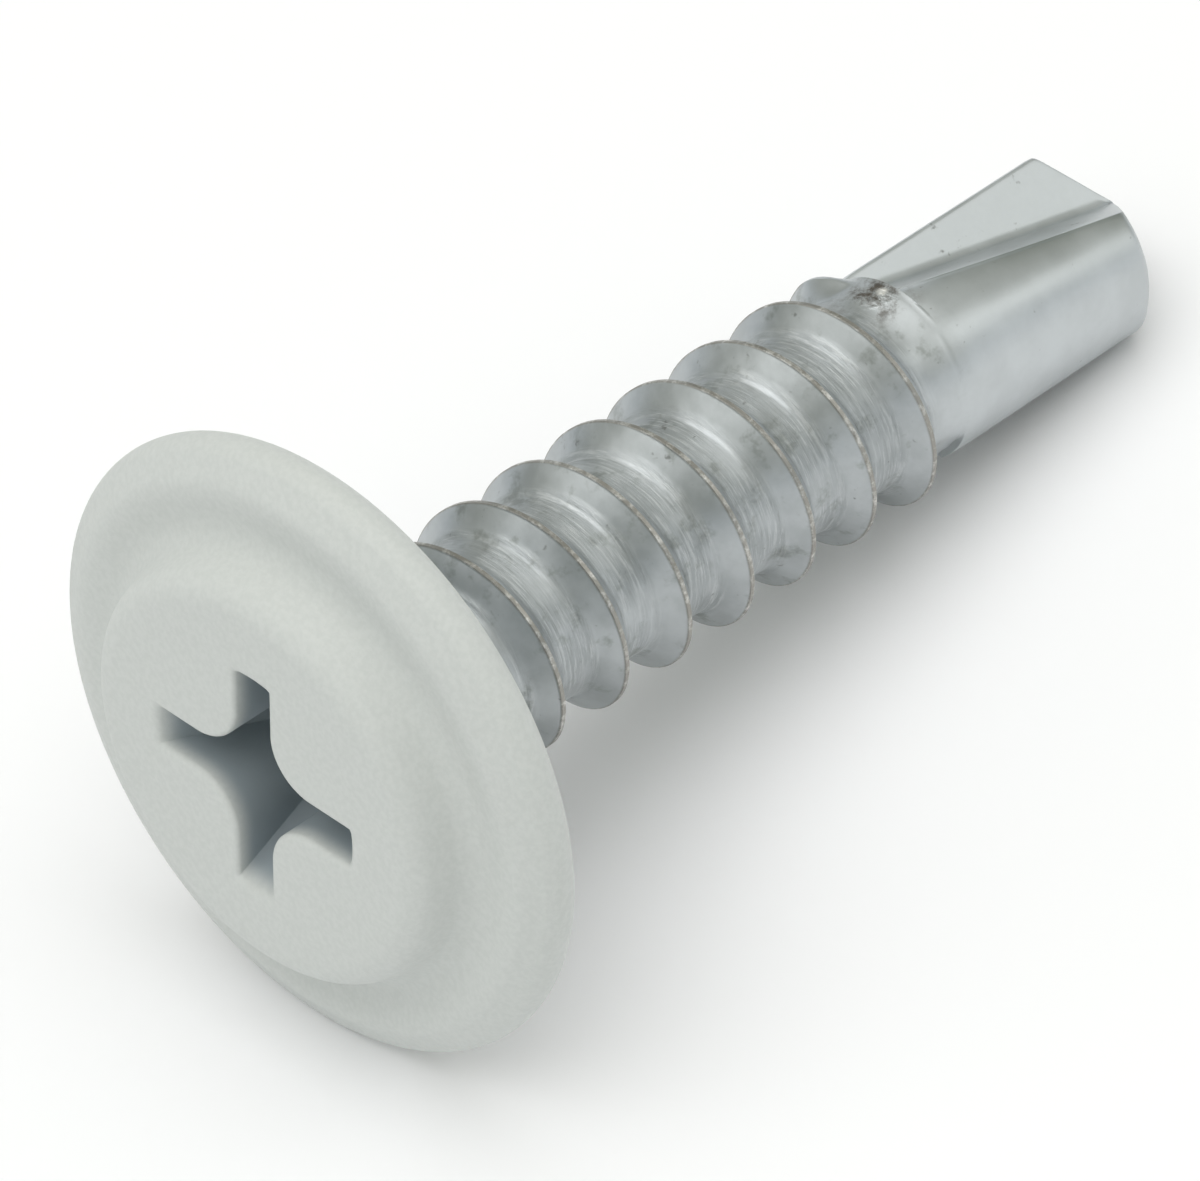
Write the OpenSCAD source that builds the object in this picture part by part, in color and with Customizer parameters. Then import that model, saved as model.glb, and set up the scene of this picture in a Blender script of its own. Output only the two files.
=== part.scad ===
/* [Head] */
// Diameter of the flange
flange_d = 11; // [10:0.1:12.5]
// Radius of the rounded flange rim
rim_r = 0.44; // [0.3:0.01:0.5]
// Height of the flange's raised outer ring above the bearing face
ring_h = 1; // [0.95:0.01:1.2]
// Diameter of the crest of that ring
ring_d = 9.6; // [9.3:0.1:9.8]
// Radius of the ring's outer round
ring_r = 0.45; // [0.3:0.01:0.5]
// Height of the shallow channel between the ring and the boss
channel_h = 0.94; // [0.8:0.01:1]
// Diameter along the bottom of the channel
channel_d = 8.5; // [8.3:0.1:8.8]
// Radius of the hollow at the boss's foot
channel_r = 0.5; // [0.3:0.01:0.6]
// Diameter of the flat centre boss, over its shoulder
boss_d = 7.5; // [7.1:0.1:7.8]
// Height of the head, from the bearing face to the boss
head_h = 1.88; // [1.6:0.01:2.2]
// Radius of the boss's rounded shoulder
shoulder_r = 0.5; // [0.3:0.01:0.6]

/* [Cross recess] */
// Diameter of the recess across its wing ends, at the boss
recess_d = 4.4; // [4:0.1:4.8]
// Width of a wing
wing_w = 0.76; // [0.6:0.01:1]
// Radius of the rounded web corners between the wings
web_r = 0.9; // [0.6:0.01:1]
// Slope of the wing ends, from the screw's axis
wing_slope = 26.5; // [20:0.5:30]
// Depth of the wings
recess_depth = 2.1; // [1.6:0.05:2.4]
// Turn of the recess about the screw's axis
recess_turn = 49.7; // [0:0.1:90]

/* [Thread] */
// Diameter over the thread's crest
thread_d = 4.12; // [3.9:0.01:4.3]
// Diameter at the thread's root
root_d = 3.16; // [2.9:0.01:3.3]
// Pitch of the thread
pitch = 1.47; // [1.4:0.01:1.6]
// Width of the flat crest
crest_w = 0.1; // [0.06:0.01:0.2]
// Distance from the bearing face to the thread, on the recess side
thread_start = 1.01; // [0.95:0.01:1.3]
// Distance from the thread's end to the drill's step
thread_gap = 0.33; // [0.2:0.01:1]
// Turns over which the thread rises at its start
rise_turns = 0.4; // [0.2:0.05:1]
// Turns over which the thread falls at its end
fall_turns = 0.14; // [0.1:0.02:0.5]
// Diameter of the cone that joins the shank to the flange
under_d = 4.7; // [4.5:0.1:5.2]
// Length of that cone
under_l = 0.6; // [0.3:0.05:0.8]

/* [Drill point] */
// Length of the shank, from the bearing face to the tip
length = 19; // [18.5:0.5:25]
// Diameter of the drill
drill_d = 3.46; // [3.2:0.01:3.6]
// Length of the drill, from its step to the tip
drill_l = 5.75; // [5:0.05:5.75]
// Height of the step, where the drill grows out of the neck
step_l = 0.12; // [0.05:0.01:0.3]
// Angle of the point
point_angle = 112; // [104:1:140]
// Length of a flute, from where it starts to the tip
flute_l = 5.9; // [5:0.1:6]
// Half of the web's thickness, which is left between the flutes
half_web = 0.26; // [0.15:0.01:0.4]
// Distance from the axis to the flute's corner, at the tip
flute_floor = 0.28; // [0.2:0.01:0.4]
// Slope at which the flute's corner climbs away from the axis
flute_slope = 10.5; // [9:0.5:12]
// Lean of the flute's sloping wall, away from its flat wall
flute_lean = 17; // [10:1:25]
// Radius in the corner of a flute
flute_r = 0.22; // [0.1:0.01:0.3]

/* [Hidden] */
$fn = 96;

paint = [0.77, 0.8, 0.78];

// Centre of the rim's round and the place of its widest edge
rim_x = flange_d / 2 - rim_r;
rim_z = -rim_r;
shoulder_x = boss_d / 2 - shoulder_r;
shoulder_z = -head_h + shoulder_r;

thread_steps = 40;
crest_r = thread_d / 2;
root_r = root_d / 2;
drill_r = drill_d / 2;
// Half of the thread's width at its foot, which leaves a narrow land between turns
foot = pitch / 2 - 0.06;
// Half width and share of the height where the thread's flank runs out into the root
waist = 0.42;
waist_share = 0.06;
// Rows of the thread across one turn, each with its place along the pitch and its share of the height
thread_rows = [[-foot, 0], [-waist, waist_share], [-crest_w / 2, 1],
               [crest_w / 2, 1], [waist, waist_share], [foot, 0]];
row_n = len(thread_rows);
// The shank starts inside the head and ends inside the drill by these lengths
shank_foot = 0.2;
shank_bury = 0.15;
// The head's cone and the drill's step run on inside the shank by this depth
inset = 0.06;
cone_end = under_l * (under_d / 2 - root_r + inset) / (under_d / 2 - root_r);
step_z = length - drill_l;
step_start = step_z - step_l * inset / (drill_r - root_r);
thread_turns = (step_z - thread_gap - thread_start) / pitch;

point_l = drill_r / tan(point_angle / 2);
body_end = length - point_l;

// Lowest line of the drill in the rest position: the two flute edges at the end of its body
corner_x = flute_floor + (length - body_end) * tan(flute_slope);
wall_gap = corner_x * cos(flute_lean) + half_web * sin(flute_lean);
wall_turn = flute_lean + acos(wall_gap / drill_r);
edge_a = [-sqrt(drill_r * drill_r - half_web * half_web), -half_web];
edge_b = [-drill_r * cos(wall_turn), -drill_r * sin(wall_turn)];
chord = edge_b - edge_a;
rest_spin = atan2(-chord[0], chord[1]);
tip_support = (edge_a[0] * chord[1] - edge_a[1] * chord[0]) / norm(chord);
lean_a = rim_x - tip_support;
lean_b = body_end - rim_z;
rest_tilt = atan2(lean_a, lean_b) + asin(rim_r / norm([lean_a, lean_b]));
rest_height = rim_x * cos(rest_tilt) + rim_r + rim_z * sin(rest_tilt);
// The middle of the resting screw's length goes over the origin
rest_back = shoulder_z * cos(rest_tilt) - shoulder_x * sin(rest_tilt) - shoulder_r;
rest_shift = -(rest_back + length * cos(rest_tilt)) / 2;

// Points of an arc about a centre, from one angle to another
function arc(centre, r, a0, a1, n = 8) =
    [for (i = [0:n]) centre + r * [cos(a0 + (a1 - a0) * i / n), sin(a0 + (a1 - a0) * i / n)]];

// Smooth step between two heights, as the channel runs up into the ring
function ease(p0, p1, n = 6) =
    [for (i = [1:n - 1]) [p0[0] + (p1[0] - p0[0]) * i / n, p0[1] + (p1[1] - p0[1]) * (1 - cos(180 * i / n)) / 2]];

// Height of the thread along its turns, from 0 at its ends to 1
function thread_rise(turn) =
    max(0, min(1, turn / rise_turns, (thread_turns - turn) / fall_turns));

// Point of the shank at step j round the axis and row m up the helix
function shank_point(j, m) =
    let (row = thread_rows[m % row_n],
         turn = floor(m / row_n) + j / thread_steps,
         a = 360 * j / thread_steps,
         r = root_r + (crest_r - root_r) * row[1] * thread_rise(turn))
    [r * cos(a), r * sin(a), thread_start + pitch * turn + row[0]];

// Plain ring of the shank at one height
function ring_points(z) =
    [for (j = [0:thread_steps - 1])
        let (a = 360 * j / thread_steps) [root_r * cos(a), root_r * sin(a), z]];

// The two triangles between neighbouring corners, low and high on the left, then on the right
function two_faces(a, b, c, d) = [[a, b, d], [a, d, c]];

// Driver recess in plan: two crossed wings with rounded webs between them
module recess_plan() {
    reach = wing_w / 2 + web_r;
    square([recess_d + 1, wing_w], center = true);
    square([wing_w, recess_d + 1], center = true);
    difference() {
        square(2 * reach, center = true);
        for (a = [45:90:315]) rotate(a) translate([reach * sqrt(2), 0]) circle(web_r);
    }
}

// Driver recess: the plan cut to a cone by the sloped wing ends, with a shallow cone at the bottom
module recess() {
    end_r = recess_d / 2 - recess_depth * tan(wing_slope);
    translate([0, 0, -head_h]) rotate(recess_turn) {
        intersection() {
            translate([0, 0, -1]) linear_extrude(recess_depth + 1) recess_plan();
            translate([0, 0, -1])
                cylinder(h = recess_depth + 1, r1 = recess_d / 2 + tan(wing_slope), r2 = end_r);
        }
        translate([0, 0, recess_depth - 0.01]) cylinder(h = end_r * 0.4, r1 = end_r * 0.8, r2 = 0);
    }
}

// Head: the flange with its ring and channel, and the raised boss
module head() {
    rotate_extrude() polygon(concat(
        [[0, cone_end], [0, -head_h]],
        arc([shoulder_x, shoulder_z], shoulder_r, -90, -20),
        arc([channel_d / 2, -channel_h - channel_r], channel_r, 150, 90),
        ease([channel_d / 2, -channel_h], [ring_d / 2, -ring_h]),
        arc([ring_d / 2, -ring_h + ring_r], ring_r, -90, -50),
        arc([rim_x, rim_z], rim_r, -50, 90),
        [[under_d / 2, 0], [root_r - inset, cone_end]]));
}

// Threaded shank: rows of points that follow the helix, so that row m meets row m + row_n after a
// turn, closed by a plain ring and a flat face at each end
module threaded_shank() {
    n = thread_steps;
    rows = row_n * ceil(thread_turns);
    last = rows - 1;
    foot_ring = n * rows;
    top_ring = foot_ring + n;
    points = concat(
        [for (j = [0:n - 1], m = [0:last]) shank_point(j, m)],
        ring_points(shank_foot),
        ring_points(thread_start + pitch * ceil(thread_turns) + foot + shank_bury));
    sides = [for (j = [0:n - 2], m = [0:last - 1])
        each two_faces(j * rows + m, j * rows + m + 1, (j + 1) * rows + m, (j + 1) * rows + m + 1)];
    seam = [for (m = [0:last - 1 - row_n])
        each two_faces((n - 1) * rows + m, (n - 1) * rows + m + 1, m + row_n, m + row_n + 1)];
    seam_foot = [for (m = [0:row_n - 1]) [(n - 1) * rows, m + 1, m]];
    seam_top = [for (m = [last - row_n:last - 1]) [(n - 1) * rows + m, (n - 1) * rows + m + 1, last]];
    foot_band = [for (j = [0:n - 1])
        let (k = (j + 1) % n) each two_faces(foot_ring + j, j * rows, foot_ring + k, k * rows)];
    top_band = [for (j = [0:n - 1])
        let (k = (j + 1) % n)
        each two_faces(j * rows + last, top_ring + j, k * rows + last, top_ring + k)];
    foot_face = [for (j = [0:n - 1]) foot_ring + j];
    top_face = [for (j = [n - 1:-1:0]) top_ring + j];
    polyhedron(points, concat(sides, seam, seam_foot, seam_top, foot_band, top_band,
                              [foot_face, top_face]));
}

// Flute in section: a flat wall and a leaning one, with a rounded corner between them
module flute_plan() {
    reach = drill_d * 1.2;
    foot_x = flute_r * (1 - sin(flute_lean)) / cos(flute_lean);
    lean_foot = foot_x * [-sin(flute_lean), cos(flute_lean)];
    polygon([[foot_x, 0], [reach, 0], [reach, reach], [-reach * tan(flute_lean), reach],
             lean_foot, [foot_x, flute_r]]);
    translate([foot_x, flute_r]) circle(flute_r);
}

// One flute: the section carried along a line that climbs away from the axis, up to a steep end
module flute() {
    run = flute_l / cos(flute_slope);
    translate([flute_floor, half_web, length]) rotate([0, -flute_slope, 0])
        translate([0, 0, -run]) linear_extrude(run + drill_d) flute_plan();
}

// Drill: a plain body that steps out of the neck, with a ground point
module drill() {
    rotate_extrude() polygon([[0, step_start], [root_r - inset, step_start],
        [drill_r, step_z + step_l], [drill_r, body_end], [0, length]]);
}

// The screw on its own axis, with the bearing face at zero and the tip towards +Z
module upright_screw() {
    difference() {
        union() {
            head();
            threaded_shank();
            drill();
        }
        recess();
        for (a = [0, 180]) rotate(a) flute();
    }
}

// The screw lies on its flange and its drill, with the head towards -Y
module screw() {
    color(paint) translate([0, rest_shift, rest_height]) rotate([-90 - rest_tilt, 0, 0])
        rotate(90 - rest_spin) upright_screw();
}

screw();
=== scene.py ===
import math

import bpy
import numpy as np
from mathutils import Euler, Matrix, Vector


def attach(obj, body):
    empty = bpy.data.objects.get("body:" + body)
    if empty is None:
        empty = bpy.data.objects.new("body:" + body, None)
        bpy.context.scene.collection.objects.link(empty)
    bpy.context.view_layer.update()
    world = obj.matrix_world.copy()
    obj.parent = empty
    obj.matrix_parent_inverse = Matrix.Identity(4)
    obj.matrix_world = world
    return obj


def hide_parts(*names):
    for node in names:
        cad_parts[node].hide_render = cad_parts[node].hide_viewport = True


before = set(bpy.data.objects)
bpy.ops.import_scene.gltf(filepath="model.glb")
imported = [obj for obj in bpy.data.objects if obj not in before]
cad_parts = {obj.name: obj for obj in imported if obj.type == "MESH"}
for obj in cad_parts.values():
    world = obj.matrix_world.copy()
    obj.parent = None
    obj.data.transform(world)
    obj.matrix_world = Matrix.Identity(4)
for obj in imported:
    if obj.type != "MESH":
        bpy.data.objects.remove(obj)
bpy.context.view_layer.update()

# Screw
# One piece of case-hardened steel wire: the head and its cross recess are cold-forged, the thread is
# rolled, and the drill point is pinched between dies. It is zinc-plated, with pale grey paint on the
# head. Sizes are in millimetres in its own frame: the bearing face at zero and the tip towards +Z.
flange_radius, rim_round = 5.5, 0.44
bearing_outer, bearing_inner = 5.0, 2.7
ring_height, ring_radius, ring_round = 1.0, 4.8, 0.45
channel_height, channel_radius, channel_round = 0.94, 4.25, 0.5
boss_radius, head_height, shoulder_round = 3.75, 1.88, 0.5
recess_reach, wing_half, web_round = 2.2, 0.38, 0.9
recess_depth, recess_slope, recess_turn = 2.1, math.radians(26.5), 49.7
recess_rim, wing_corner, recess_pit = 0.1, 0.09, 0.42
thread_radius, root_radius, pitch = 2.06, 1.58, 1.47
thread_start, thread_turns = 1.01, 8.102
run_in_turns, run_out_turns = 0.4, 0.14
crest_half, flank_half, flank_foot = 0.035, 0.42, 0.06
cone_radius, cone_length = 2.35, 0.6
length, drill_radius, drill_length = 19.0, 1.73, 5.75
step_at = length - drill_length
point_half_angle = math.radians(56)
point_fall = 1 / math.tan(point_half_angle)

# The drill's body rises from the root in a short step at one angle, in degrees, and gently beside it
step_length, step_spread = 0.22, 1.1
step_angle, step_half, step_fade = -4, 6, 24

# The flute's flat wall, its leaning wall, and the heel edge, which is rolled in over an angle
web_half, corner_at_tip, flute_length = 0.26, 0.28, 5.9
flute_slope, flute_lean = math.tan(math.radians(10.5)), math.radians(17)
rolled_edge, rolled_angle = 0.16, math.radians(38)
rolled_from, rolled_over = step_at - 0.6, 1.2
heel_relief, relief_end, relief_angle = 0.2, math.radians(185), math.radians(45)
inner_bend, lip_bend = 0.15, 0.06

# How softly the shapes run into each other
root_blend, cone_blend, step_blend, point_blend = 0.1, 0.12, 0.05, 0.1

# The angles of the columns that run from the boss to the drill, over half a turn: they are closer
# together where the flute opens, and the other half turn repeats them
flat_columns, bend_columns, lean_columns, edge_columns = 14, 8, 16, 6
wall_columns = flat_columns + bend_columns + lean_columns + edge_columns
arc_columns, wall_sector = 64, 32
columns = 2 * (wall_columns + arc_columns)
flute_edge = math.degrees(math.asin(web_half / drill_radius))
half_turn = np.concatenate([
    np.linspace(0, wall_sector, wall_columns, endpoint=False),
    np.linspace(wall_sector, 180, arc_columns, endpoint=False),
])
column_angle = flute_edge + np.concatenate([half_turn, half_turn + 180])

# Evenly spaced angles for the recess, with the first of its columns on a wing's middle line
recess_shift = np.argmin(np.abs((column_angle - recess_turn + 180) % 360 - 180))
even_angle = recess_turn + (np.arange(columns) - recess_shift) * 360 / columns
even_angle += 360 * round((column_angle.mean() - even_angle.mean()) / 360)


def circle(radius, height, angle=column_angle):
    """Points round the axis: the radius times the cosine and sine of each column's angle, in degrees."""
    radians = np.radians(angle)
    radius, height, radians = np.broadcast_arrays(radius, height, radians)
    return np.stack([radius * np.cos(radians), radius * np.sin(radians), height], axis=-1)


def soft_least(first, second, blend):
    """The lesser of two values, rounded off over the blend's width where they cross."""
    share = np.clip(0.5 + 0.5 * (second - first) / blend, 0, 1)
    return second * (1 - share) + first * share - blend * share * (1 - share)


def soft_greatest(first, second, blend):
    """The greater of two values, rounded off over the blend's width where they cross."""
    return -soft_least(-first, -second, blend)


def smooth(share):
    """Smooth step of a share from 0 to 1: three times its square less twice its cube."""
    share = np.clip(share, 0, 1)
    return share * share * (3 - 2 * share)


# Columns in an eighth of the recess, those along a wing's end, and the steps that its line is read at
octant = columns // 8
end_columns = 6
fine_steps = 1200


def recess_ring(grow, depth):
    """One level of the cross recess, seen in plan as a distance from the axis for each angle.

    A wing's side keeps a fixed distance from the wing's middle line, the web between two wings is
    an arc about a point on the diagonal, and the wing's end is an arc that draws in with depth.
    """
    end = recess_reach + grow - depth * math.tan(recess_slope)
    angle = np.radians(np.linspace(1, 45, fine_steps))
    side = (wing_half + grow) / np.sin(angle)
    centre = (wing_half + web_round) * math.sqrt(2)
    off = angle - math.pi / 4
    half_chord = np.sqrt(np.maximum((web_round - grow) ** 2 - (centre * np.sin(off)) ** 2, 0))
    web = centre * np.cos(off) - half_chord
    tangent = math.atan2(wing_half + grow, wing_half + web_round)
    wall = np.where(angle < tangent, side, web)
    corner = np.interp(-end, -wall, angle)
    beyond = angle >= corner
    steps = np.hypot(np.diff(wall[beyond]), wall[beyond][1:] * np.diff(angle[beyond]))
    path = np.concatenate([[0], np.cumsum(steps)])
    along_wall = np.interp(np.linspace(0, path[-1], octant - end_columns + 1), path, angle[beyond])
    eighth = np.concatenate([np.linspace(0, corner, end_columns, endpoint=False), along_wall])
    reach = soft_least(np.interp(eighth, angle, wall), np.full_like(eighth, end), wing_corner)
    quarter_angle = np.concatenate([eighth[:-1], math.pi / 2 - eighth[:0:-1]])
    quarter_reach = np.concatenate([reach[:-1], reach[:0:-1]])
    around = np.concatenate([quarter_angle + k * math.pi / 2 for k in range(4)])
    around = np.roll(np.degrees(around) + recess_turn, recess_shift)
    return circle(np.roll(np.tile(quarter_reach, 4), recess_shift), depth - head_height, around)


def arc_points(x, z, radius, start, stop, count):
    """Points of an arc about (x, z): the radius times the cosine and sine of evenly spaced angles."""
    angle = np.radians(np.linspace(start, stop, count))
    return np.stack([x + radius * np.cos(angle), z + radius * np.sin(angle)], axis=-1)


def head_rows():
    """Rings from the bottom of the recess up its walls, over the boss and the flange to the bearing face.

    The recess is a stack of cross-shaped levels over a shallow pit, the boss is drawn straight from
    the recess's rim to the shoulder, and the rest is one profile turned about the axis.
    """
    bottom = recess_ring(0, recess_depth)
    rows = []
    for share in np.linspace(0, 1, 4, endpoint=False):
        ring = bottom * [share, share, 1]
        ring[:, 2] += recess_pit * (1 - share)
        rows.append(ring)
    for depth in np.linspace(recess_depth, recess_rim, 16, endpoint=False):
        rows.append(recess_ring(0, depth))
    for angle in np.radians(np.linspace(0, 90, 7)):
        rows.append(recess_ring(recess_rim * (1 - math.cos(angle)), recess_rim * (1 - math.sin(angle))))
    edge = rows[-1]
    shoulder = circle(boss_radius - shoulder_round, -head_height, even_angle)
    between = np.linspace(0, 1, 9)[1:-1]
    for share in between:
        rows.append(edge * (1 - share) + shoulder * share)
    rise_to_ring = (channel_height - ring_height) * (1 - np.cos(math.pi * between)) / 2
    profile = np.concatenate([
        arc_points(boss_radius - shoulder_round, shoulder_round - head_height, shoulder_round, -90, -20, 11),
        arc_points(channel_radius, -channel_height - channel_round, channel_round, 150, 90, 8),
        np.stack([channel_radius + (ring_radius - channel_radius) * between,
                  -channel_height + rise_to_ring], axis=-1),
        arc_points(ring_radius, -ring_height + ring_round, ring_round, -90, -50, 7),
        arc_points(flange_radius - rim_round, -rim_round, rim_round, -50, 90, 22),
        np.stack([np.linspace(bearing_outer, bearing_inner, 6), np.zeros(6)], axis=-1),
    ])
    for place, (radius, height) in enumerate(profile):
        swing = smooth(place / (len(profile) - 6))
        rows.append(circle(radius, height, even_angle + (column_angle - even_angle) * swing))
    return rows


def shank_radius(angle, height):
    """Distance of the shank's surface from the axis, at an angle in degrees and a height.

    The thread has a flat crest and straight flanks that run out into a slightly hollow root. The
    greatest of the thread, the cone under the head and the drill's body is the surface.
    """
    turns = (height - thread_start) / pitch - angle / 360
    nearest = np.round(turns)
    offset = np.abs(turns - nearest) * pitch
    along = nearest + angle / 360
    rise = smooth(np.minimum(along / run_in_turns, (thread_turns - along) / run_out_turns))
    flank = flank_foot + (1 - flank_foot) * (flank_half - offset) / (flank_half - crest_half)
    hollow = flank_foot * (pitch / 2 - offset) / (pitch / 2 - flank_half)
    ridge = soft_greatest(np.minimum(1, flank), hollow, root_blend)
    thread = root_radius + (thread_radius - root_radius) * ridge * rise
    cone = cone_radius - height * (cone_radius - root_radius) / cone_length
    off_step = np.abs((angle - step_angle + 90) % 180 - 90)
    swell = 2 * step_length + step_spread * smooth((off_step - step_half) / step_fade)
    body_rise = smooth((height - step_at - step_length + swell) / swell)
    body = root_radius + (drill_radius - root_radius) * body_rise
    return soft_greatest(soft_greatest(thread, cone, cone_blend), body, step_blend)


# Heights of one turn's rows from its crest. The full rows end at row main_rows, short of the drill
crest_offsets = np.array([-0.735, -0.65, -0.56, -0.48, -0.43, -0.38, -0.3, -0.2, -0.11, -0.035,
                          0.0, 0.035, 0.11, 0.2, 0.3, 0.38, 0.43, 0.48, 0.56, 0.65])
rows_per_turn = len(crest_offsets)
turn_share = np.concatenate([crest_offsets / pitch + 0.5 + k for k in range(10)])
seam_angle = column_angle[0]
shank_foot = thread_start + pitch * seam_angle / 360 - pitch / 2
main_rows = 7 * rows_per_turn + 12
shank_top = shank_foot + pitch * (1 + turn_share[main_rows])


def shank_grid():
    """Columns of points whose rows climb with the thread by one pitch a turn.

    A wedge of rows opens below the first turn and another closes above the last, so that the grid
    starts and ends in a plain ring. Row q of the last column meets row q + rows_per_turn of the first.
    """
    around = (column_angle - seam_angle)[:, None] / 360
    last = turn_share[main_rows]
    closing = turn_share[None, main_rows:main_rows + rows_per_turn + 1] - last
    height = shank_foot + pitch * np.concatenate([
        around * turn_share[None, :rows_per_turn],
        around + turn_share[None, :main_rows],
        around + last + (1 - around) * closing,
    ], axis=1)
    angle = np.broadcast_to(column_angle[:, None], height.shape)
    return circle(shank_radius(angle, height), height, angle)


def flute_outline(height, body):
    """Half of the drill's section at each height, and its other half, turned by half a turn.

    The line goes in along the flat wall, out along the leaning wall, and back round the body. Each
    corner is a quadratic curve between points near it on its two sides. Where the point of the
    drill is too thin for walls, they shrink to one place.
    """
    corner_x = corner_at_tip + (length - height) * flute_slope
    corner_angle = np.arctan2(web_half, corner_x)
    corner_radius = np.hypot(web_half, corner_x)
    heel_end = (length - height) / (point_fall + heel_relief / drill_radius)
    lip_radius = soft_least(body, (length - height) / point_fall, point_blend)
    rolled = rolled_edge * smooth((height - rolled_from) / rolled_over)
    heel_radius = soft_least(body - rolled, heel_end, point_blend)
    whole = corner_radius < np.minimum(lip_radius, heel_radius)
    wall_gap = corner_x * math.cos(flute_lean) + web_half * math.sin(flute_lean)
    flat_angle = np.where(whole, np.arcsin(np.clip(web_half / lip_radius, 0, 1)), corner_angle)
    lean_angle = flute_lean + np.arccos(np.clip(wall_gap / heel_radius, 0, 1))
    lean_angle = np.where(whole, lean_angle, corner_angle)
    corner_radius = np.where(whole, corner_radius, np.minimum(lip_radius, heel_radius))

    def spot(radius, angle):
        return np.stack([radius * np.cos(angle), radius * np.sin(angle)], axis=-1)

    def straight(start, stop, count):
        share = (np.arange(count) / count)[None, :, None]
        return start[:, None] * (1 - share) + stop[:, None] * share

    def bend(before, at, after, count):
        share = (np.arange(count) / count)[None, :, None]
        ends = (1 - share) ** 2 * before[:, None] + share**2 * after[:, None]
        return ends + 2 * share * (1 - share) * at[:, None]

    flat_edge = spot(lip_radius, flat_angle)
    corner = spot(corner_radius, corner_angle)
    lean_edge = spot(heel_radius, lean_angle)
    flat_long = np.linalg.norm(flat_edge - corner, axis=-1)
    lean_long = np.linalg.norm(lean_edge - corner, axis=-1)
    shorter = np.minimum(flat_long, lean_long)
    flat_way = (flat_edge - corner) / np.maximum(flat_long, 1e-9)[:, None]
    lean_way = (lean_edge - corner) / np.maximum(lean_long, 1e-9)[:, None]
    inner = np.minimum(inner_bend, 0.4 * shorter)[:, None]
    lip = np.minimum(lip_bend, 0.3 * shorter)
    lip_turn = lip / np.maximum(lip_radius, 1e-6)
    lip = lip[:, None]
    share = np.arange(arc_columns - edge_columns) / (arc_columns - edge_columns)
    first = (lean_angle + lip_turn)[:, None]
    final = (flat_angle + math.pi - lip_turn)[:, None]
    around = first + (final - first) * share
    relief = heel_relief * smooth((relief_end - around) / relief_angle)
    rolled_share = np.clip(1 - (around - lean_angle[:, None]) / rolled_angle, 0, 1) ** 2
    body_radius = body[:, None] - rolled[:, None] * rolled_share
    point_radius = (length - height)[:, None] / (point_fall + relief / drill_radius)
    half = np.concatenate([
        straight(flat_edge - lip * flat_way, corner + inner * flat_way, flat_columns),
        bend(corner + inner * flat_way, corner, corner + inner * lean_way, bend_columns),
        straight(corner + inner * lean_way, lean_edge - lip * lean_way, lean_columns),
        bend(lean_edge - lip * lean_way, lean_edge, spot(heel_radius, lean_angle + lip_turn), edge_columns),
        spot(soft_least(body_radius, point_radius, point_blend), around),
        bend(spot(lip_radius, final[:, 0]), -flat_edge, -flat_edge + lip * flat_way, edge_columns),
    ], axis=1)
    return np.concatenate([half, -half], axis=1)


def drill_rows():
    """Rings from the last turn of the thread to the tip.

    The first rings are round and move their columns to where the flute opens. The flute's steep end
    lies between a round ring and the first cut one.
    """
    opening = length - flute_length
    height = np.concatenate([
        opening + np.array([0, 0.012, 0.04]),
        np.linspace(opening + 0.08, step_at + 0.3, 8),
        np.linspace(step_at + 0.4, length - 1.5, 36),
        np.linspace(length - 1.44, length - 0.3, 26),
        length - np.array([0.24, 0.18, 0.12, 0.07, 0.03, 0.01]),
    ])
    outline = flute_outline(height, shank_radius(90.0, height))
    angle = np.degrees(np.arctan2(outline[0, :, 1], outline[0, :, 0]))
    angle = column_angle + (angle - column_angle + 180) % 360 - 180
    rows = []
    for share in (0.25, 0.5, 0.75, 1.0):
        place = shank_top + (opening - 0.02 - shank_top) * share
        around = column_angle + (angle - column_angle) * smooth(share)
        rows.append(circle(shank_radius(around, np.full_like(around, place)), place, around))
    depth = np.broadcast_to(height[:, None, None], outline.shape[:2] + (1,))
    return rows + list(np.concatenate([outline, depth], axis=-1))


points = []


def numbered(ring):
    """Adds a ring to the screw's points and gives its points' numbers."""
    start = sum(len(part) for part in points)
    points.append(ring)
    return start + np.arange(len(ring))


def band(first, second):
    """Two triangles for each quad between two rings of point numbers, the second ring further along."""
    first_next, second_next = np.roll(first, -1), np.roll(second, -1)
    return np.concatenate([np.stack([first, first_next, second_next], axis=-1),
                           np.stack([first, second_next, second], axis=-1)])


head = head_rows()
pit = numbered(head[0][:1])[0]
head_rings = [numbered(ring) for ring in head[1:]]
shank = shank_grid()
number = numbered(shank.reshape(-1, 3)).reshape(shank.shape[:2])
drill_rings = [numbered(ring) for ring in drill_rows()]
tip = numbered(np.array([[0, 0, length]]))[0]
local = np.concatenate(points)

# The thread's columns meet a turn's rows higher where the last column comes round to the first
number[0, :rows_per_turn] = number[0, rows_per_turn]
next_number = np.roll(number, -1, axis=0)
climbed = np.minimum(np.arange(number.shape[1]) + rows_per_turn, number.shape[1] - 1)
next_number[-1] = number[0, climbed]
here, above = number[:, :-1], number[:, 1:]
across, across_above = next_number[:, :-1], next_number[:, 1:]

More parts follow.
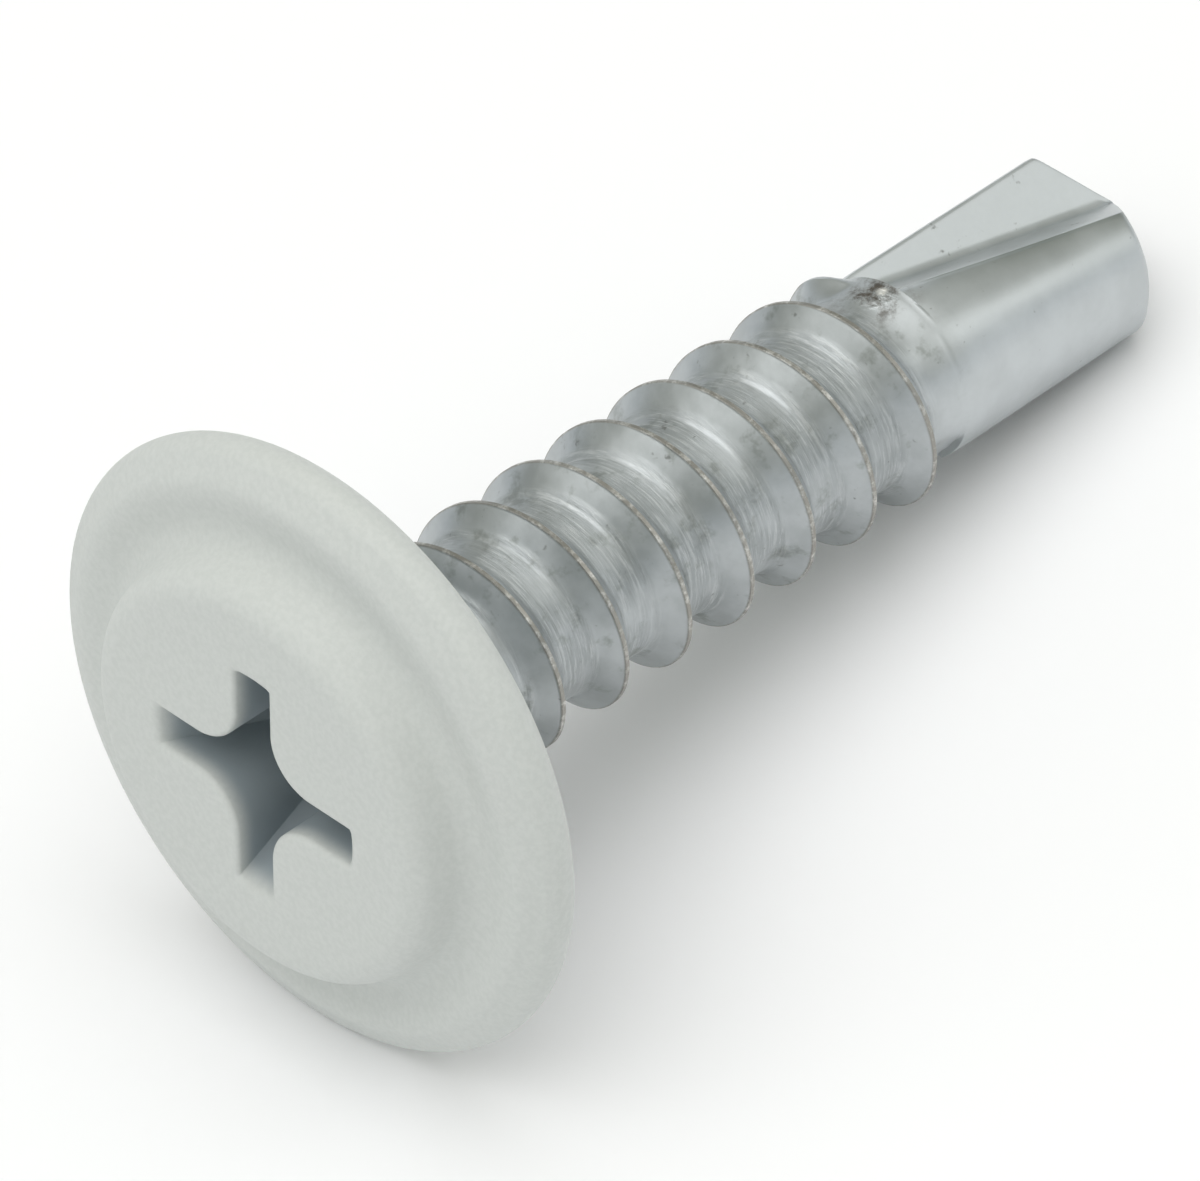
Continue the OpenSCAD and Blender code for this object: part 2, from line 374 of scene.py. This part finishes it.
head_chain = head_rings + [number[:, 0]]
drill_chain = [number[:, -1]] + drill_rings
triangles = [np.stack([np.roll(head_rings[0], -1), head_rings[0], np.full(columns, pit)], axis=-1)]
triangles += [band(first, second) for first, second in zip(head_chain[:-1], head_chain[1:])]
triangles.append(np.stack([here, across, across_above], axis=-1).reshape(-1, 3))
triangles.append(np.stack([here, across_above, above], axis=-1).reshape(-1, 3))
triangles += [band(first, second) for first, second in zip(drill_chain[:-1], drill_chain[1:])]
triangles.append(np.stack([drill_rings[-1], np.roll(drill_rings[-1], -1), np.full(columns, tip)], axis=-1))
faces = np.concatenate(triangles)

# Points that fall together are made one, and faces that lose their area with them go
merge_steps_per_mm = 20000
keys = np.round(local * merge_steps_per_mm).astype(np.int64)
_, keep, same = np.unique(keys, axis=0, return_index=True, return_inverse=True)
local = local[keep]
faces = same.reshape(-1)[faces]
flat = (faces[:, 0] == faces[:, 1]) | (faces[:, 1] == faces[:, 2]) | (faces[:, 2] == faces[:, 0])
faces = faces[~flat]

# The screw lies on the flange's rim and on the two edges of its lower flute
rest_spin, rest_tilt = math.radians(-131.457275), math.radians(12.897244)
rest_place = np.array([0, -7.9750355, 5.2741366])


def laid_down(way):
    """Directions in the screw's own frame, spun about its axis and then tilted to lie as it rests."""
    x = way[..., 0] * math.sin(rest_spin) - way[..., 1] * math.cos(rest_spin)
    y = way[..., 0] * math.cos(rest_spin) + way[..., 1] * math.sin(rest_spin)
    along = -y * math.sin(rest_tilt) + way[..., 2] * math.cos(rest_tilt)
    up = -y * math.cos(rest_tilt) - way[..., 2] * math.sin(rest_tilt)
    return np.stack([x, along, up], axis=-1)


sharp_angle = math.radians(34)
mesh = bpy.data.meshes.new("flange_head_screw")
mesh.from_pydata((laid_down(local) + rest_place) / 1000, [], faces.tolist())
mesh.update()
mesh.shade_smooth()
mesh.set_sharp_from_angle(angle=sharp_angle)

# For the finish, each point keeps its own place, its distance from the axis, its height and its share
# of the thread's height, and the groove's phase as a cosine and a sine
angle = np.degrees(np.arctan2(local[:, 1], local[:, 0]))
radius = np.hypot(local[:, 0], local[:, 1])
phase = 2 * math.pi * ((local[:, 2] - thread_start) / pitch - angle / 360)
crest = np.clip((radius - root_radius) / (thread_radius - root_radius), 0, 2)
place = np.stack([radius, local[:, 2], crest], axis=-1)
groove = np.stack([np.cos(phase), np.sin(phase), local[:, 2]], axis=-1)
for name, values in (("place", place), ("groove", groove), ("own", local)):
    layer = mesh.attributes.new(name, "FLOAT_VECTOR", "POINT")
    layer.data.foreach_set("vector", values.astype(np.float32).ravel())

# The painted shade along each heel edge starts over some length of the drill, and fades to a third of its
# strength over some degrees round the body
heel_shade_start, heel_shade_fade = 0.8, 11
wall_gap = (corner_at_tip + (length - local[:, 2]) * flute_slope) * math.cos(flute_lean)
wall_gap += web_half * math.sin(flute_lean)
heel_angle = flute_lean + np.arccos(np.clip(wall_gap / (drill_radius - rolled_edge), 0, 1))
past_heel = (angle - np.degrees(heel_angle)) % 180
heel_shade_share = np.exp(-past_heel / heel_shade_fade) * smooth((local[:, 2] - step_at) / heel_shade_start)
heel_shade_layer = mesh.attributes.new("heel", "FLOAT", "POINT")
heel_shade_layer.data.foreach_set("value", heel_shade_share.astype(np.float32))

screw = bpy.data.objects.new("flange_head_screw", mesh)
bpy.context.scene.collection.objects.link(screw)


class Socket:
    """A node socket that takes part in sums, products and comparisons."""

    def __init__(self, tree, out=None):
        self.tree, self.out = tree, out

    def node(self, kind, settings=None, output=0, **inputs):
        """A new node with its inputs linked or set, given by the socket that leaves it.

        An input is called by its name, or by "at" and its number.
        """
        made = self.tree.nodes.new(kind)
        for key, value in (settings or {}).items():
            setattr(made, key, value)
        for key, value in inputs.items():
            socket = made.inputs[int(key[2:]) if key.startswith("at") else key.replace("_", " ")]
            if isinstance(value, Socket):
                self.tree.links.new(value.out, socket)
            else:
                socket.default_value = value
        return Socket(self.tree, None if output is None else made.outputs[output])

    def math(self, operation, *values):
        """A Math node on the values given, which don't take in this socket unless it is one of them."""
        return self.node("ShaderNodeMath", {"operation": operation},
                         **{"at%d" % k: value for k, value in enumerate(values)})

    def __add__(self, other):
        return self.math("ADD", self, other)

    __radd__ = __add__

    def __sub__(self, other):
        return self.math("SUBTRACT", self, other)

    def __rsub__(self, other):
        return self.math("SUBTRACT", other, self)

    def __mul__(self, other):
        return self.math("MULTIPLY", self, other)

    __rmul__ = __mul__

    def between(self, low, high):
        """A share from 0 at one value to 1 at another, eased at both ends."""
        return self.node("ShaderNodeMapRange", {"interpolation_type": "SMOOTHSTEP"},
                         at0=self, at1=low, at2=high)

    def mix(self, low, high):
        """A colour that goes from one to the other as this share goes from 0 to 1."""
        return self.node("ShaderNodeMix", {"data_type": "RGBA"}, output=2, at0=self, at6=low, at7=high)

    def part(self, number):
        """One of a vector's three numbers."""
        return self.node("ShaderNodeSeparateXYZ", output=number, at0=self)

    def scaled(self, way):
        """A vector times another, number by number."""
        return self.node("ShaderNodeVectorMath", {"operation": "MULTIPLY"}, at0=self, at1=way)

    def distance(self, spot):
        """How far a place is from another."""
        return self.node("ShaderNodeVectorMath", {"operation": "DISTANCE"}, output="Value",
                         at0=self, at1=spot)

    def noise(self, scale, detail=3.0, roughness=0.5):
        """Noise about a half, with so many lumps to one unit of this vector."""
        return self.node("ShaderNodeTexNoise", output="Fac", Vector=self, Scale=scale, Detail=detail,
                         Roughness=roughness)


finish = bpy.data.materials.new("paint_and_zinc")
finish.use_nodes = True
finish.node_tree.nodes.clear()
start = Socket(finish.node_tree)
own, place, groove = (start.node("ShaderNodeAttribute", {"attribute_name": name}, output="Vector")
                      for name in ("own", "place", "groove"))
# The share of painted shade along each heel edge of the drill
heel = start.node("ShaderNodeAttribute", {"attribute_name": "heel"}, output="Fac")
from_axis, along, crest_share = (place.part(k) for k in range(3))

# Paint covers the head and runs out a little way behind the rim
behind = along + own.noise(0.9) * 0.05
rim = from_axis.between(3.3, 4.2) * (1 - along.between(0.05, 0.1))
painted = start.math("MAXIMUM", 1 - behind.between(-0.02, 0.05), rim)
bare = 1 - painted

# The paint has a fine grain, and down in the recess its colour is painted darker and bluer as shade
paint_dark, paint_light = (0.56, 0.582, 0.565, 1), (0.595, 0.615, 0.598, 1)
# The darker, bluer colour of the recess is painted shade
recess_shade_blue = (0.31, 0.355, 0.383, 1)
paint_roughness = 0.6
grain = own.noise(10.0, 2.0, 0.6)
recess_shade_share = along.between(-1.84, -1.45) * (1 - from_axis.between(2.3, 2.5))
paint_colour = recess_shade_share.mix(grain.between(0.3, 0.7).mix(paint_dark, paint_light), recess_shade_blue)

# The zinc is mottled, more softly on the drill than on the thread. Its colour is darker over the thread than
# on the drill, and darker still in the roots, where the extra darkening is painted shade
zinc_dark, zinc_light, thread_dark = (0.48, 0.507, 0.517, 1), (0.62, 0.65, 0.665, 1), (0.16, 0.175, 0.18, 1)
on_drill = along.between(11.8, 13.4)
mottle = own.noise(1.1, 4.0, 0.6)
fleck = own.noise(6.0, 3.0, 0.7)
in_root = (1 - crest_share.between(0.18, 0.42)) * (1 - along.between(11.9, 12.6))
in_root = in_root * (own.noise(1.3, 2.0, 0.5).between(0.36, 0.56) * 0.6 + 0.4)
cloud = mottle.between(0.3, 0.7) * (1 - on_drill * 0.6) + on_drill * 0.33
# Darker over the thread, and darker still in the roots as painted shade
thread_darkening_and_root_shade = (in_root * 0.12 + 0.18) * (1 - on_drill)
zinc_colour = thread_darkening_and_root_shade.mix(cloud.mix(zinc_dark, zinc_light), thread_dark)

# Rolling drew the root's zinc out into short scratches along the thread
scratch_light, scratch_dark = (0.82, 0.84, 0.84, 1), (0.26, 0.275, 0.26, 1)
scratch = groove.scaled((1.0, 1.0, 4.0)).noise(3.6, 5.0, 0.72)
zinc_colour = (in_root * scratch.between(0.48, 0.62) * 0.34).mix(zinc_colour, scratch_light)
zinc_colour = (in_root * (1 - scratch.between(0.34, 0.46)) * 0.4).mix(zinc_colour, scratch_dark)

# Stains lie on the thread, and painted shade follows each heel edge of the drill
stain_dark, heel_painted_shade = (0.17, 0.185, 0.16, 1), (0.2, 0.225, 0.195, 1)
stain = own.noise(1.7, 4.0, 0.65).between(0.55, 0.72) * (1 - along.between(12.6, 13.4)) * 0.5
zinc_colour = stain.mix(zinc_colour, stain_dark)
# Painted shade along each heel edge
zinc_colour = (heel * (0.75 - mottle * 0.3)).mix(zinc_colour, heel_painted_shade)

# The crest is worn and slightly brown, and its edge is nicked
worn_brown, worn_bright = (0.27, 0.245, 0.205, 1), (0.72, 0.7, 0.66, 1)
worn = crest_share.between(0.93, 0.99) * along.between(0.4, 0.5) * (1 - along.between(12.7, 12.9))
worn_colour = fleck.between(0.45, 0.72).mix(worn_brown, worn_bright)
zinc_colour = (worn * 0.7).mix(zinc_colour, worn_colour)


def beside_flutes(x, y, height):
    """Distance from the nearer of a place beside the first flute and its twin, half a turn on."""
    return start.math("MINIMUM", own.distance((x, y, height)), own.distance((-x, -y, height)))


# Small dark spots, and brown dirt and a bright nick where the dies pinched the wire beside each flute
spot_dark, dirt_brown, nick_bright = (0.12, 0.12, 0.105, 1), (0.085, 0.068, 0.048, 1), (0.88, 0.87, 0.84, 1)
spots = own.noise(2.6, 3.0, 0.75).between(0.66, 0.76) * 0.6
zinc_colour = spots.mix(zinc_colour, spot_dark)
pinch = beside_flutes(1.17, 1.12, 12.75)
smear = own.noise(2.2, 5.0, 0.7) + (1 - pinch.between(0.0, 0.6)) * 0.1
dirt = (1 - pinch.between(0.2, 1.0)) * smear.between(0.46, 0.66)
zinc_colour = (dirt * 0.9).mix(zinc_colour, dirt_brown)
nick = 1 - (beside_flutes(1.14, 1.17, 12.88) + fleck * 0.12).between(0.1, 0.2)
zinc_colour = nick.mix(zinc_colour, nick_bright)

zinc_roughness = 0.35 + on_drill * 0.01 + cloud * 0.1 + in_root * 0.12 + spots * 0.2 + dirt * 0.2

# Heights of the relief, in metres
grain_high, scratch_high, root_fleck_high = 0.000003, 0.000013, 0.000004
drawn_high, fleck_high, worn_high, pinch_high = 0.000004, 0.000001, 0.000012, 0.00005
drawn = own.scaled((1.0, 1.0, 0.22)).noise(2.4, 3.0, 0.6)
zinc_relief = in_root * (scratch * scratch_high + fleck * root_fleck_high)
zinc_relief = zinc_relief + drawn * drawn_high + fleck * fleck_high
relief = painted * grain * grain_high + bare * zinc_relief + worn * fleck * worn_high
relief = relief + (1 - pinch.between(0.1, 0.5)) * fleck * pinch_high
bump = start.node("ShaderNodeBump", Strength=1.0, Distance=1.0, Height=relief)
shader = start.node("ShaderNodeBsdfPrincipled", Base_Color=painted.mix(zinc_colour, paint_colour),
                    Metallic=bare * 0.92, Roughness=bare * zinc_roughness + painted * paint_roughness,
                    Normal=bump)
start.node("ShaderNodeOutputMaterial", output=None, Surface=shader)
mesh.materials.append(finish)

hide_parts("screw")
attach(screw, "root")

# Floor
# A plain sheet of matt white paper that the screw lies on. It is flat and wide enough to fill the
# view, and nothing of it but the screw's soft shadow is seen. Its size is in metres.
side = 0.6
paper_white, paper_roughness = (0.935, 0.935, 0.955, 1), 0.9
sheet = bpy.data.meshes.new("floor")
corners = [(-side, -side, 0), (side, -side, 0), (side, side, 0), (-side, side, 0)]
sheet.from_pydata(corners, [], [(0, 1, 2, 3)])
floor = bpy.data.objects.new("floor", sheet)
bpy.context.scene.collection.objects.link(floor)
white = bpy.data.materials.new("floor_white")
white.use_nodes = True
floor_shader = white.node_tree.nodes["Principled BSDF"]
floor_shader.inputs["Base Color"].default_value = paper_white
floor_shader.inputs["Roughness"].default_value = paper_roughness
floor_shader.inputs["Specular IOR Level"].default_value = 0.0
sheet.materials.append(white)

# Camera
# A long lens that looks down on the head from in front. Its place, in metres, and its angles give the
# photograph's outline of the screw; they are its tip from straight down, its roll and its turn.
camera_place = Vector((0.076807, -0.059509, 0.107096))
camera_tip, camera_roll, camera_turn = math.radians(41.8816), math.radians(9.2697), math.radians(43.1131)
focal_pixels, photo_width, sensor_width = 8660.6, 1200, 36
camera_data = bpy.data.cameras.new("camera")
camera_data.sensor_width = sensor_width
camera_data.lens = focal_pixels / photo_width * sensor_width
camera_data.clip_start, camera_data.clip_end = 0.01, 2.0
camera = bpy.data.objects.new("camera", camera_data)
camera.location = camera_place
camera.rotation_euler = Euler((camera_tip, camera_roll, camera_turn))
bpy.context.scene.collection.objects.link(camera)
bpy.context.scene.camera = camera
bpy.context.scene.view_settings.view_transform = "Standard"

# Light
# A pale studio: a room that is bright at its foot and its ceiling and grey between them, a wide soft
# lamp in front of the head, and a smaller one beyond the drill, which its flat flute mirrors.
foot_blue, wall_grey, ceiling_white = (0.76, 0.83, 0.92, 1), (0.37, 0.38, 0.33, 1), (2.25, 2.25, 2.22, 1)
room = bpy.data.worlds.new("studio")
bpy.context.scene.world = room
room.use_nodes = True
air = Socket(room.node_tree)
rise = air.node("ShaderNodeTexCoord", output="Generated").part(2)
walls = rise.between(0.05, 0.25).mix(foot_blue, wall_grey)
shade = rise.between(0.72, 0.94).mix(walls, ceiling_white)
room.node_tree.links.new(shade.out, room.node_tree.nodes["Background"].inputs[0])

# Each lamp's name, its direction from the head, its width in metres and its power in watts
lamp_distance = 0.25
aim = Vector((laid_down(np.array([0, 0, -rim_round])) + rest_place) / 1000)
for name, way, width, power in (("front", (-0.2, -0.75, 0.65), 0.3, 0.12),
                                ("beyond", (0.55, 0.7, 0.42), 0.1, 0.044)):
    lamp_data = bpy.data.lights.new(name, "AREA")
    lamp_data.shape, lamp_data.size, lamp_data.energy = "DISK", width, power
    lamp = bpy.data.objects.new(name, lamp_data)
    lamp.location = aim + Vector(way).normalized() * lamp_distance
    lamp.rotation_euler = (aim - lamp.location).to_track_quat("-Z", "Y").to_euler()
    bpy.context.scene.collection.objects.link(lamp)
